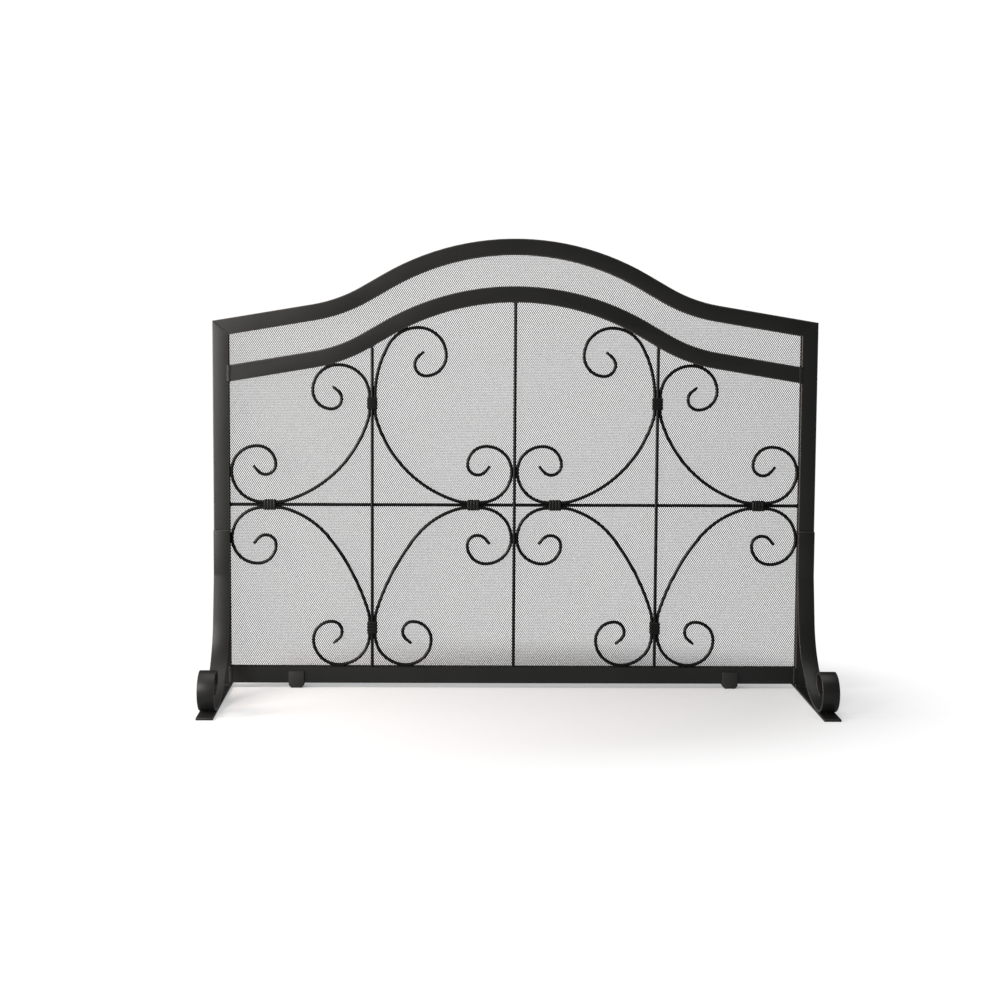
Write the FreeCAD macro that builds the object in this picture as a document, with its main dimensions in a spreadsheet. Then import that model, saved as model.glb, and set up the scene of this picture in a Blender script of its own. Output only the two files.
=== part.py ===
import FreeCAD, Part
import math
import os
import Sketcher

from FreeCAD import Placement, Rotation, Vector

# Flat-guard fireplace screen: an arched tube frame with mesh behind it, two medallions of
# scrolled rod, and two scrolled legs on flat foot bars.
# X runs across the screen, Y from front to back, Z up. The front faces -Y, and the foot bars
# rest on Z = 0, midway between their ends at Y = 0. Each piece is drawn about the frame's own
# middle plane and then moved back by frame_setback, where that plane stands on the foot bars.

os.makedirs("parts", exist_ok=True)
doc = FreeCAD.newDocument("FireplaceScreen")

SIZES = [
    # alias, value in mm or degrees, what it sets
    ("overall_width", 1117.6, "across the outer faces of the posts"),
    ("centre_height", 838.2, "floor to the crown"),
    ("side_height", 685.8, "floor to the outer top corners"),
    ("foot_depth", 323.85, "front to back along a foot bar"),
    ("foot_front_reach", 220.0, "foot bar ahead of the frame's middle plane"),
    ("tube_face", 30.0, "face width of the frame tube"),
    ("tube_depth", 15.0, "front-to-back depth of the frame tube"),
    ("tube_wall", 1.5, "wall of the frame tube"),
    ("ramp_angle", 9.5, "slope of the straight ramps at the sides of the arch"),
    ("ramp_run", 184.0, "horizontal run of a ramp's top edge"),
    ("valley_radius", 270.0, "bend from ramp to shoulder, on the top edge"),
    ("shoulder_length", 48.45, "straight between that bend and the crown's, on the top edge"),
    ("rail_drop", 87.0, "lower arch rail below the top one"),
    ("bottom_rail_gap", 9.0, "floor to the bottom rail"),
    ("cross_rod_height", 344.0, "floor to the cross rod's axis"),
    ("straight_rod", 6.0, "diameter of the straight rods"),
    ("scroll_rod", 6.0, "diameter of the scrolled rods"),
    ("rod_gap", 0.05, "gap between a rod and what it is welded to"),
    ("volute_first", 57.5, "radius of a volute's first quarter"),
    ("volute_second", 47.5, "radius of its second quarter"),
    ("volute_third", 34.5, "radius of its third quarter"),
    ("volute_eye", 19.0, "radius of its innermost bend"),
    ("volute_eye_turn", 140.0, "turn of its innermost bend"),
    ("volute_tip", 13.0, "straight tip of a scroll"),
    ("crest_growth", 1.09, "crest volutes are this much larger than the others"),
    ("crest_lead_turn", 30.0, "turn of the gentle lead into a crest volute"),
    ("shoulder_radius", 60.0, "bend where a scroll leaves its collar"),
    ("shoulder_turn", 17.0, "turn of that bend"),
    ("collar_length", 23.0, "length of a collar along its rods"),
    ("collar_wall", 1.2, "wall of a collar"),
    ("collar_gap", 0.1, "gap between a collar and its rods"),
    ("collar_corner", 1.5, "outer corner radius of a collar"),
    ("collar_overrun", 2.0, "straight rod beyond each end of a collar"),
    ("mesh_thickness", 1.0, "thickness of the woven mesh"),
    ("retainer_width", 12.0, "width of the mesh retaining strips"),
    ("retainer_thickness", 1.6, "thickness of the mesh retaining strips"),
    ("retainer_inset", 9.0, "mesh and strips inside the frame's outer edge"),
    ("strip_gap", 0.5, "gap between the ends of two strips"),
    ("screw_shank", 3.5, "shank diameter of the strip screws"),
    ("screw_head", 7.0, "head diameter of the strip screws"),
    ("screw_head_height", 2.4, "head height of the strip screws"),
    ("screw_gap", 0.1, "gap between a screw's shank and its holes"),
    ("foot_bar_thickness", 4.0, "flat bar of the feet"),
    ("strap_thickness", 4.0, "flat bar of the legs"),
    ("strap_top", 297.0, "floor to the top end of a leg strap"),
    ("strap_kink_height", 216.0, "floor to where a leg strap leaves its post"),
    ("strap_kink_turn", 9.0, "turn of the strap where it leaves its post"),
    ("strap_kink_radius", 40.0, "radius of that turn"),
    ("roll_setback", 12.0, "foot bar ahead of the rolled strap"),
    ("roll_first", 37.0, "radius of the roll's front, lower quarter"),
    ("roll_second", 31.0, "radius of the roll's front, upper quarter"),
    ("roll_third", 15.0, "radius of the roll's back, upper quarter"),
    ("roll_eye", 21.0, "radius of the roll's last bend"),
    ("roll_eye_turn", 75.0, "turn of the roll's last bend"),
    ("roll_tip", 9.0, "straight end of the roll"),
    ("glide_width", 29.0, "width of a glide on the bottom rail"),
    ("glide_wall", 2.6, "wall of a glide"),
    ("glide_front_lap", 22.0, "glide up the front of the bottom rail"),
    ("glide_back_lap", 6.0, "glide up the back of the bottom rail"),
    ("glide_gap", 0.1, "gap between a glide and the rail"),
    ("glide_corner", 5.0, "chamfer at a glide's lower corners"),
    ("glide_offset", 406.0, "centre of the screen to a glide"),
]

sheet = doc.addObject("Spreadsheet::Sheet", "Sizes")
for row, (alias, value, note) in enumerate(SIZES, start=1):
    sheet.set(f"A{row}", note)
    sheet.set(f"B{row}", str(value))
    sheet.setAlias(f"B{row}", alias)
doc.recompute()


def size(alias):
    return float(sheet.get(alias))


# --- sketches and bodies -----------------------------------------------------------------

def new_body(node):
    body = doc.addObject("PartDesign::Body", node)
    body.Label = node
    return body


def new_sketch(body, name, role, offset=Placement()):
    """A sketch on one of the body's own origin planes. On XZ_Plane the sketch's axes are X
    and Z, on YZ_Plane they are Y and Z, and on XY_Plane they are X and Y."""
    plane = next(feature for feature in body.Origin.OriginFeatures if feature.Role == role)
    sketch = body.newObject("Sketcher::SketchObject", name)
    sketch.AttachmentSupport = [(plane, "")]
    sketch.MapMode = "FlatFace"
    sketch.AttachmentOffset = offset
    return sketch


def draw(sketch, curves):
    """Adds a chain of lines and arcs."""
    for curve in curves:
        sketch.addGeometry(curve, False)


def pad(body, sketch, length, symmetric=True):
    feature = body.newObject("PartDesign::Pad", "Pad")
    feature.Profile = sketch
    feature.setExpression("Length", length)
    feature.Midplane = symmetric
    sketch.Visibility = False
    return feature


def pocket(body, sketch, length, symmetric=True):
    """Cuts on both sides of the sketch, or from the sketch towards +Y if not symmetric."""
    doc.recompute()
    uncut = body.Shape.Volume
    feature = body.newObject("PartDesign::Pocket", "Pocket")
    feature.Profile = sketch
    feature.setExpression("Length", length)
    feature.Midplane = symmetric
    sketch.Visibility = False
    doc.recompute()
    if body.Shape.Volume > uncut - 1:
        raise RuntimeError(f"a pocket in {body.Label} cuts nothing")


def flat(x, y):
    return Vector(x, y, 0)


def lines(points, closed=True):
    ends = points[1:] + (points[:1] if closed else [])
    return [Part.LineSegment(start, end) for start, end in zip(points, ends)]


# --- tangent chains ----------------------------------------------------------------------

def heading(angle):
    return flat(math.cos(math.radians(angle)), math.sin(math.radians(angle)))


def walk(steps, start=flat(0, 0), angle=0.0):
    """Walks a chain of tangent lines and arcs. A step is (length,) or (radius, turn), and a
    positive turn is to the left. Returns a list of (start, middle, end, angle at the end)."""
    places = []
    for step in steps:
        if len(step) == 1:
            end = start + heading(angle) * step[0]
            places.append((start, None, end, angle))
        else:
            radius, turn = step
            side = math.copysign(90, turn)
            centre = start + heading(angle + side) * radius
            middle = centre - heading(angle + side + turn / 2) * radius
            end = centre - heading(angle + side + turn) * radius
            angle += turn
            places.append((start, middle, end, angle))
        start = places[-1][2]
    return places


def curve_of(start, middle, end):
    if middle is None:
        return Part.LineSegment(start, end)
    return Part.Arc(start, middle, end)


def chain_length(steps):
    return sum(step[0] if len(step) == 1 else step[0] * math.radians(abs(step[1])) for step in steps)


def strip_outline(steps, start, angle, thickness):
    """The closed outline of a flat bar of one thickness that follows a chain."""

    def edge(side):
        """The chain moved sideways by half the thickness, to the left with side 1."""
        moved = [step if len(step) == 1 else
                 (step[0] - math.copysign(thickness / 2, side * step[1]), step[1]) for step in steps]
        return walk(moved, start + heading(angle + 90 * side) * (thickness / 2), angle)

    left = edge(1)
    right = edge(-1)
    curves = [curve_of(a, m, b) for a, m, b, _ in left]
    curves.append(Part.LineSegment(left[-1][2], right[-1][2]))
    curves += [curve_of(b, m, a) for a, m, b, _ in reversed(right)]
    curves.append(Part.LineSegment(right[0][0], left[0][0]))
    return curves


# --- the arch ----------------------------------------------------------------------------

half_width = size("overall_width") / 2
tube_face = size("tube_face")
half_depth = size("tube_depth") / 2
post_inner = half_width - tube_face
ramp_angle = size("ramp_angle")


def touching(room, low, high):
    """The value between low and high at which room(value) falls to nothing."""
    for _ in range(40):
        middle = (low + high) / 2
        if room(middle) > 0:
            low = middle
        else:
            high = middle
    return low


def arch_layout():
    """Centres of the two bends of the arch's top edge, the slope of the shoulder between them,
    and the crown's radius. The shoulder is as steep as it has to be for the crown, which is
    tangent to it and level at the centre line, to reach its height."""
    ramp = heading(ramp_angle)
    ramp_end = flat(-half_width, size("side_height")) + ramp * (size("ramp_run") / ramp.x)
    valley = ramp_end + heading(ramp_angle + 90) * size("valley_radius")

    def crown_start(angle):
        shoulder_start = valley - heading(angle + 90) * size("valley_radius")
        return shoulder_start + heading(angle) * size("shoulder_length")

    def room_above(angle):
        start = crown_start(angle)
        rise = -start.x * math.tan(math.radians(angle / 2))
        return size("centre_height") - start.y - rise

    shoulder_angle = touching(room_above, ramp_angle, STEEPEST_SHOULDER)
    crown_radius = -crown_start(shoulder_angle).x / math.sin(math.radians(shoulder_angle))
    return valley, flat(0, size("centre_height") - crown_radius), shoulder_angle, crown_radius


STEEPEST_SHOULDER = 85
VALLEY, CROWN, SHOULDER_ANGLE, CROWN_RADIUS = arch_layout()


def arch_half(inset, drop, end_x):
    """Key points of the left half of an arch edge, from its left end to the crown. The edge
    lies `inset` inside the frame's top edge and `drop` below it, and starts at x = end_x."""
    down = flat(0, -drop)
    valley_radius = size("valley_radius") + inset
    crown_radius = CROWN_RADIUS - inset
    out = (ramp_angle + SHOULDER_ANGLE) / 2
    ramp_end = VALLEY - heading(ramp_angle + 90) * valley_radius + down
    slope = math.tan(math.radians(ramp_angle))
    return {
        "start": flat(end_x, ramp_end.y - (ramp_end.x - end_x) * slope),
        "ramp_end": ramp_end,
        "valley_middle": VALLEY - heading(out + 90) * valley_radius + down,
        "valley_end": VALLEY - heading(SHOULDER_ANGLE + 90) * valley_radius + down,
        "crown_start": CROWN + heading(SHOULDER_ANGLE + 90) * crown_radius + down,
        "crown": CROWN + flat(0, crown_radius) + down,
    }


def arch_height(x, inset, drop):
    """Height of an arch edge at a distance x from the centre line."""
    half = arch_half(inset, drop, -half_width)
    x = -abs(x)
    if x <= half["ramp_end"].x:
        return half["ramp_end"].y - (half["ramp_end"].x - x) * math.tan(math.radians(ramp_angle))
    if x <= half["valley_end"].x:
        radius = size("valley_radius") + inset
        return VALLEY.y - drop - math.sqrt(radius ** 2 - (x - VALLEY.x) ** 2)
    if x <= half["crown_start"].x:
        slope = math.tan(math.radians(SHOULDER_ANGLE))
        return half["valley_end"].y + (x - half["valley_end"].x) * slope
    radius = CROWN_RADIUS - inset
    return CROWN.y - drop + math.sqrt(radius ** 2 - x ** 2)


def mirrored(point):
    return flat(-point.x, point.y)


def arch_edge(inset, drop, end_x):
    """The whole edge, from left to right."""
    half = arch_half(inset, drop, end_x)
    left = [Part.LineSegment(half["start"], half["ramp_end"]),
            Part.Arc(half["ramp_end"], half["valley_middle"], half["valley_end"]),
            Part.LineSegment(half["valley_end"], half["crown_start"])]
    other = {key: mirrored(point) for key, point in half.items()}
    right = [Part.LineSegment(other["crown_start"], other["valley_end"]),
             Part.Arc(other["valley_end"], other["valley_middle"], other["ramp_end"]),
             Part.LineSegment(other["ramp_end"], other["start"])]
    crown = Part.Arc(half["crown_start"], half["crown"], other["crown_start"])
    return left + [crown] + right, half["start"]


def arch_outline(top_inset, bottom_inset, drop, top_end, bottom_end):
    top, top_start = arch_edge(top_inset, drop, top_end)
    bottom, bottom_start = arch_edge(bottom_inset, drop, bottom_end)
    return (top + bottom + [Part.LineSegment(top_start, bottom_start),
                            Part.LineSegment(mirrored(top_start), mirrored(bottom_start))])


# --- screw places ------------------------------------------------------------------------

strip_centre = size("retainer_inset") + size("retainer_width") / 2
bottom_rail_top = size("bottom_rail_gap") + tube_face
ARCH_SCREWS = [flat(x, arch_height(x, strip_centre, 0))
               for x in [half_width * share for share in (-0.85, -0.5, -0.17, 0.17, 0.5, 0.85)]]
SIDE_SCREW_HEIGHTS = [size("side_height") * share for share in (0.15, 0.5, 0.85)]
BOTTOM_SCREWS = [flat(half_width * share, size("bottom_rail_gap") + strip_centre)
                 for share in (-0.85, -0.43, 0, 0.43, 0.85)]


def side_screws(side):
    return [flat(side * (half_width - strip_centre), height) for height in SIDE_SCREW_HEIGHTS]


def drill(body, places, depth_start):
    """Screw holes through whatever lies behind the plane y = depth_start."""
    sketch = new_sketch(body, "Holes", "XZ_Plane", Placement(Vector(0, 0, -depth_start), Rotation()))
    radius = size("screw_shank") / 2 + size("screw_gap")
    for place in places:
        hole = sketch.addGeometry(Part.Circle(place, Vector(0, 0, 1), radius), False)
        rule = sketch.addConstraint(Sketcher.Constraint("Radius", hole, radius))
        sketch.setExpression(f"Constraints[{rule}]", "Sizes.screw_shank / 2 + Sizes.screw_gap")
    pocket(body, sketch, "Sizes.tube_depth", symmetric=False)


# --- the frame ---------------------------------------------------------------------------

def tube(node, outline, bore, holes):
    """A length of frame tube, its long bore and its screw holes through the back wall."""
    body = new_body(node)
    outer = new_sketch(body, "Outline", "XZ_Plane")
    draw(outer, outline)
    pad(body, outer, "Sizes.tube_depth")
    inner = new_sketch(body, "Bore", "XZ_Plane")
    draw(inner, bore)
    pocket(body, inner, "Sizes.tube_depth - 2 * Sizes.tube_wall")
    if holes:
        drill(body, holes, 0)
    return body


def post(node, side):
    """A post stands on its foot bar and meets the top arch rail in a mitre, which runs from
    the outer top corner to where the two inner edges cross."""
    wall = size("tube_wall")
    foot = size("foot_bar_thickness")
    outer_top = arch_height(half_width, 0, 0)
    inner_top = arch_height(post_inner, tube_face, 0)
    mitre = (outer_top - inner_top) / tube_face

    def section(inset, bottom):
        outer, inner = half_width - inset, post_inner + inset
        points = [flat(outer, bottom), flat(inner, bottom),
                  flat(inner, inner_top + inset * mitre), flat(outer, outer_top - inset * mitre)]
        return lines([flat(side * point.x, point.y) for point in points])

    return tube(node, section(0, foot), section(wall, foot - wall), side_screws(side))


def top_arch_rail():
    wall = size("tube_wall")
    outline = arch_outline(0, tube_face, 0, -half_width, -post_inner)
    bore = arch_outline(wall, tube_face - wall, 0, -half_width + wall, -post_inner - wall)
    return tube("top_arch_rail", outline, bore, ARCH_SCREWS)


def lower_arch_rail():
    """The same bend as the top rail, one rail drop lower, cut square between the posts."""
    wall = size("tube_wall")
    drop = size("rail_drop")
    outline = arch_outline(0, tube_face, drop, -post_inner, -post_inner)
    bore = arch_outline(wall, tube_face - wall, drop, -post_inner - wall, -post_inner - wall)
    return tube("lower_arch_rail", outline, bore, [])


def rectangle(left, right, bottom, top):
    return lines([flat(left, bottom), flat(right, bottom), flat(right, top), flat(left, top)])


def bind_rectangle(sketch, first, width, height):
    """Squares the four lines from geometry `first` on, and binds their lengths to the sheet."""
    corner = sketch.Geometry[first].StartPoint
    across = sketch.Geometry[first].length()
    upward = sketch.Geometry[first + 1].length()
    for number in range(4):
        following = first + (number + 1) % 4
        sketch.addConstraint(Sketcher.Constraint("Coincident", first + number, 2, following, 1))
        kind = "Horizontal" if number % 2 == 0 else "Vertical"
        sketch.addConstraint(Sketcher.Constraint(kind, first + number))
    sketch.addConstraint(Sketcher.Constraint("DistanceX", -1, 1, first, 1, corner.x))
    sketch.addConstraint(Sketcher.Constraint("DistanceY", -1, 1, first, 1, corner.y))
    wide = sketch.addConstraint(Sketcher.Constraint("Distance", first, across))
    tall = sketch.addConstraint(Sketcher.Constraint("Distance", first + 1, upward))
    sketch.setExpression(f"Constraints[{wide}]", width)
    sketch.setExpression(f"Constraints[{tall}]", height)


def bottom_rail():
    wall = size("tube_wall")
    low = size("bottom_rail_gap")
    outline = rectangle(-post_inner, post_inner, low, bottom_rail_top)
    bore = rectangle(-post_inner - wall, post_inner + wall, low + wall, bottom_rail_top - wall)
    body = tube("bottom_rail", outline, bore, BOTTOM_SCREWS)
    outer = next(item for item in body.Group if item.Name.startswith("Outline"))
    bind_rectangle(outer, 0, "Sizes.overall_width - 2 * Sizes.tube_face", "Sizes.tube_face")
    return body


# --- the mesh and what holds it ----------------------------------------------------------

retainer_inset = size("retainer_inset")
mesh_edge = half_width - retainer_inset
mesh_bottom = size("bottom_rail_gap") + retainer_inset
strip_front = half_depth + size("mesh_thickness")
strip_inner_inset = retainer_inset + size("retainer_width")
ALL_SCREWS = ARCH_SCREWS + side_screws(-1) + side_screws(1) + BOTTOM_SCREWS


def plate(node, front, thickness, outline, holes):
    """A flat plate behind the frame, its front face at y = front."""
    body = new_body(node)
    sketch = new_sketch(body, "Outline", "XZ_Plane", Placement(Vector(0, 0, -front), Rotation()))
    draw(sketch, outline)
    feature = pad(body, sketch, thickness, symmetric=False)
    feature.Reversed = True
    drill(body, holes, 0)
    return body


def mesh_sheet():
    top, start = arch_edge(retainer_inset, 0, -mesh_edge)
    corners = [mirrored(start), flat(mesh_edge, mesh_bottom), flat(-mesh_edge, mesh_bottom), start]
    outline = top + lines(corners, closed=False)
    return plate("mesh_sheet", half_depth, "Sizes.mesh_thickness", outline, ALL_SCREWS)


def arch_retainer():
    outline = arch_outline(retainer_inset, strip_inner_inset, 0, -mesh_edge, -mesh_edge)
    return plate("arch_mesh_retainer", strip_front, "Sizes.retainer_thickness", outline, ARCH_SCREWS)


def side_retainer(node, side):
    inner = half_width - strip_inner_inset
    gap = size("strip_gap")
    points = [flat(mesh_edge, mesh_bottom), flat(inner, mesh_bottom),
              flat(inner, arch_height(inner, strip_inner_inset, 0) - gap),
              flat(mesh_edge, arch_height(mesh_edge, strip_inner_inset, 0) - gap)]
    outline = lines([flat(side * point.x, point.y) for point in points])
    return plate(node, strip_front, "Sizes.retainer_thickness", outline, side_screws(side))


def bottom_retainer():
    end = half_width - strip_inner_inset - size("strip_gap")
    outline = rectangle(-end, end, mesh_bottom, mesh_bottom + size("retainer_width"))
    return plate("bottom_mesh_retainer", strip_front, "Sizes.retainer_thickness", outline, BOTTOM_SCREWS)


def strip_screws():
    """Pan-head screws through strip and mesh into the back wall of the tube. They are alike,
    so they share one node."""
    seat = strip_front + size("retainer_thickness")
    tip = half_depth - 2 * size("tube_wall")
    back = Vector(0, 1, 0)
    head_height = size("screw_head_height")
    screws = []
    for place in ALL_SCREWS:
        shank = Part.makeCylinder(size("screw_shank") / 2, seat - tip, Vector(place.x, tip, place.y), back)
        head = Part.makeCylinder(size("screw_head") / 2, head_height, Vector(place.x, seat, place.y), back)
        rim = max((edge for edge in head.Edges if edge.Closed), key=lambda edge: edge.CenterOfMass.y)
        screws.append(shank.fuse(head.makeFillet(head_height * 0.6, [rim])))
    group = doc.addObject("Part::Feature", "strip_screws")
    group.Label = "strip_screws"
    group.Shape = Part.makeCompound(screws)
    return group


# --- the straight rods -------------------------------------------------------------------

# The scrolls lie in the frame's middle plane. The upright rods pass in front of the cross rod,
# and they touch where they cross.
cross_height = size("cross_rod_height")
straight_radius = size("straight_rod") / 2
scroll_radius = size("scroll_rod") / 2
rod_gap = size("rod_gap")
rod_step = straight_radius + rod_gap / 2
medallion_x = post_inner / 2
# Sideways distance between a straight rod's axis and a scroll that lies against it.
scroll_offset = math.sqrt((straight_radius + scroll_radius + rod_gap) ** 2 - rod_step ** 2)


def rail_underside(x):
    return arch_height(x, tube_face, size("rail_drop"))


def upright_rod(node, x):
    """From the bottom rail to the lower arch rail, cut where its lower shoulder meets it."""
    top = min(rail_underside(x - straight_radius), rail_underside(x + straight_radius))
    rod = doc.addObject("Part::Cylinder", node)
    rod.Label = node
    rod.setExpression("Radius", "Sizes.straight_rod / 2")
    rod.Height = top - bottom_rail_top
    rod.Placement = Placement(Vector(x, -rod_step, bottom_rail_top), Rotation())
    return rod


def cross_rod():
    rod = doc.addObject("Part::Cylinder", "cross_rod")
    rod.Label = "cross_rod"
    rod.setExpression("Radius", "Sizes.straight_rod / 2")
    rod.setExpression("Height", "Sizes.overall_width - 2 * Sizes.tube_face")
    rod.Placement = Placement(Vector(-post_inner, rod_step, cross_height), Rotation(Vector(0, 1, 0), 90))
    return rod


# --- the scrolls -------------------------------------------------------------------------

# A scroll is drawn in one quarter of its medallion, with the medallion's centre at (0, 0), the
# side volute to the left and the end volute at the top. It bends one way all along.
scroll_lead = size("collar_length") / 2 + size("collar_overrun")
volute_reach = scroll_lead + size("volute_first")


def volute(growth=1.0, crest_radius=0.0):
    """From the middle of a collar to the tip. A crest volute starts with a long, gentle lead."""
    lead_turn = size("crest_lead_turn") if crest_radius else 0.0
    lead = [(crest_radius, lead_turn)] if crest_radius else []
    return [(scroll_lead,)] + lead + [
        (size("volute_first") * growth, 90 - lead_turn),
        (size("volute_second") * growth, 90),
        (size("volute_third") * growth, 90),
        (size("volute_eye") * growth, size("volute_eye_turn")),
        (size("volute_tip"),)]


def middle_bend(side_arm, end_arm):
    """The bend between the two collars: a small shoulder at each end, and two long arcs that
    meet where the heading matches the line between the shoulders."""
    turn = math.radians(size("shoulder_turn"))
    shoulder = size("shoulder_radius")
    taken = scroll_lead + scroll_offset + shoulder * (math.sin(turn) + 1 - math.cos(turn))
    across, along = side_arm - taken, end_arm - taken
    meeting = math.atan2(along, across)
    first = (math.sin(meeting) - math.sin(turn), math.cos(turn) - math.cos(meeting))
    second = (math.cos(turn) - math.sin(meeting), math.cos(meeting) - math.sin(turn))
    crossing = first[0] * second[1] - first[1] * second[0]
    side_radius = (across * second[1] - along * second[0]) / crossing
    end_radius = (first[0] * along - first[1] * across) / crossing
    return [(shoulder, math.degrees(turn)),
            (side_radius, math.degrees(meeting - turn)),
            (end_radius, 90 - math.degrees(meeting + turn)),
            (shoulder, math.degrees(turn))]


def scroll_chain(side_arm, end_arm, growth, crest_radius):
    """The steps of a whole scroll, from its side tip to its end tip, with the start's place
    and heading in the quarter."""
    side_part = list(reversed(volute()))[:-1]
    end_part = volute(growth, crest_radius)[1:]
    through_collar = [(2 * scroll_lead,)]
    steps = side_part + through_collar + middle_bend(side_arm, end_arm) + through_collar + end_part
    trial = walk(side_part + [(scroll_lead,)])
    turn = -trial[-1][3]
    turned = Rotation(Vector(0, 0, 1), turn).multVec(trial[-1][2])
    return steps, flat(-side_arm, scroll_offset) - turned, turn


def end_volute_room(end_arm, side, growth, crest_radius):
    """Distance from an end volute to the lower arch rail, negative once it is past the rail.
    `side` is -1 for a scroll on the outer side of its medallion and 1 on the inner side."""
    underside, _ = arch_edge(tube_face, size("rail_drop"), -post_inner)
    rail = Part.Compound([curve.toShape() for curve in underside])
    places = walk(volute(growth, crest_radius), flat(-scroll_offset, end_arm), 90)
    nearest = math.inf

    def placed(point):
        return flat(-medallion_x - side * point.x, cross_height + point.y)

    for start, middle, end, _ in places[1:-3]:
        curve = Part.Arc(placed(start), placed(middle), placed(end)).toShape()
        past = any(rail_underside(point.x) < point.y for point in curve.discretize(40))
        nearest = min(nearest, -1 if past else curve.distToShape(rail)[0])
    return nearest - scroll_radius - rod_gap


# Arms of a medallion: from its centre to the middle of each collar.
outer_arm = medallion_x - scroll_radius - rod_gap - volute_reach
inner_arm = medallion_x - scroll_offset - volute_reach
bottom_arm = cross_height - bottom_rail_top - scroll_radius - rod_gap - volute_reach
crest_growth = size("crest_growth")
top_arm = touching(lambda arm: end_volute_room(arm, -1, 1.0, 0.0), 0, size("side_height"))
crest_radius = touching(lambda radius: end_volute_room(top_arm, 1, crest_growth, radius), 1, half_width)


ROD_LENGTHS = {}


def scroll(node, side, up, side_arm, end_arm, growth=1.0, crest=0.0):
    """One rod bent into a C with a volute at each end. side is the sign of x on which its side
    volute lies, seen from the medallion's centre, and up is 1 above the cross rod."""
    steps, start, angle = scroll_chain(side_arm, end_arm, growth, crest)
    centre = math.copysign(medallion_x, 1 if node.startswith("right") else -1)

    def placed(point):
        return None if point is None else flat(centre - side * point.x, cross_height + up * point.y)

    body = new_body(node)
    path = new_sketch(body, "Path", "XZ_Plane")
    draw(path, [curve_of(placed(a), placed(m), placed(b)) for a, m, b, _ in walk(steps, start, angle)])
    tip = placed(start)
    along = heading(angle)
    across = Vector(-side * along.x, 0, up * along.y)
    facing = Rotation(Vector(0, 0, 1), across)
    section = new_sketch(body, "Section", "XY_Plane", Placement(Vector(tip.x, 0, tip.y), facing))
    circle = section.addGeometry(Part.Circle(flat(0, 0), Vector(0, 0, 1), scroll_radius), False)
    rule = section.addConstraint(Sketcher.Constraint("Radius", circle, scroll_radius))
    section.addConstraint(Sketcher.Constraint("Coincident", circle, 3, -1, 1))
    section.setExpression(f"Constraints[{rule}]", "Sizes.scroll_rod / 2")
    rod = body.newObject("PartDesign::AdditivePipe", "Rod")
    rod.Profile = section
    rod.Spine = path
    ROD_LENGTHS[node] = chain_length(steps)
    return body


def scrolls():
    made = []
    for name, medallion in (("left", -1), ("right", 1)):
        outer, inner = medallion, -medallion
        made.append(scroll(f"{name}_upper_outer_scroll", outer, 1, outer_arm, top_arm))
        made.append(scroll(f"{name}_upper_inner_scroll", inner, 1, inner_arm, top_arm,
                           crest_growth, crest_radius))
        made.append(scroll(f"{name}_lower_outer_scroll", outer, -1, outer_arm, bottom_arm))
        made.append(scroll(f"{name}_lower_inner_scroll", inner, -1, inner_arm, bottom_arm))
    return made


# --- the collars -------------------------------------------------------------------------

def collar(node, role, along, opening):
    """A band round three rods. The opening is (left, right, bottom, top) on the sketch's two
    axes, measured to the rods, and the band is centred at `along` on the third."""
    gap = size("collar_gap")
    wall = size("collar_wall")
    left, right, bottom, top = opening
    body = new_body(node)
    sketch = new_sketch(body, "Band", role, Placement(Vector(0, 0, along), Rotation()))
    draw(sketch, rectangle(left - gap, right + gap, bottom - gap, top + gap))
    around = gap + wall
    draw(sketch, rectangle(left - around, right + around, bottom - around, top + around))
    band = pad(body, sketch, "Sizes.collar_length")
    doc.recompute()
    middle = band.Shape.CenterOfMass
    long_edges = [(edge.CenterOfMass.distanceToPoint(middle), f"Edge{number}")
                  for number, edge in enumerate(band.Shape.Edges, start=1)
                  if abs(edge.Length - size("collar_length")) < 0.001]
    rounding = body.newObject("PartDesign::Fillet", "Corners")
    rounding.Base = (band, [name for _, name in sorted(long_edges)[-4:]])
    rounding.setExpression("Radius", "Sizes.collar_corner")
    return body


def collars():
    spread = scroll_offset + scroll_radius
    reach = rod_step + straight_radius
    made = []
    for name, side in (("left", -1), ("right", 1)):
        centre = side * medallion_x
        # Round an upright rod, which lies in front of the scrolls.
        upright = (centre - spread, centre + spread, -reach, scroll_radius)
        made.append(collar(f"{name}_top_collar", "XY_Plane", cross_height + top_arm, upright))
        made.append(collar(f"{name}_bottom_collar", "XY_Plane", cross_height - bottom_arm, upright))
        # Round the cross rod, which lies behind them.
        level = (-scroll_radius, reach, cross_height - spread, cross_height + spread)
        made.append(collar(f"{name}_outer_collar", "YZ_Plane", centre + side * outer_arm, level))
        made.append(collar(f"{name}_inner_collar", "YZ_Plane", centre - side * inner_arm, level))
    return made


# --- the feet ----------------------------------------------------------------------------

foot_x = half_width - tube_face / 2
foot_bar = size("foot_bar_thickness")
strap = size("strap_thickness")


def foot_bar_under(node, side):
    bar = doc.addObject("Part::Box", node)
    bar.Label = node
    bar.setExpression("Length", "Sizes.tube_face")
    bar.setExpression("Width", "Sizes.foot_depth")
    bar.setExpression("Height", "Sizes.foot_bar_thickness")
    left = side * foot_x - tube_face / 2
    bar.Placement = Placement(Vector(left, -size("foot_front_reach"), 0), Rotation())
    return bar


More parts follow.
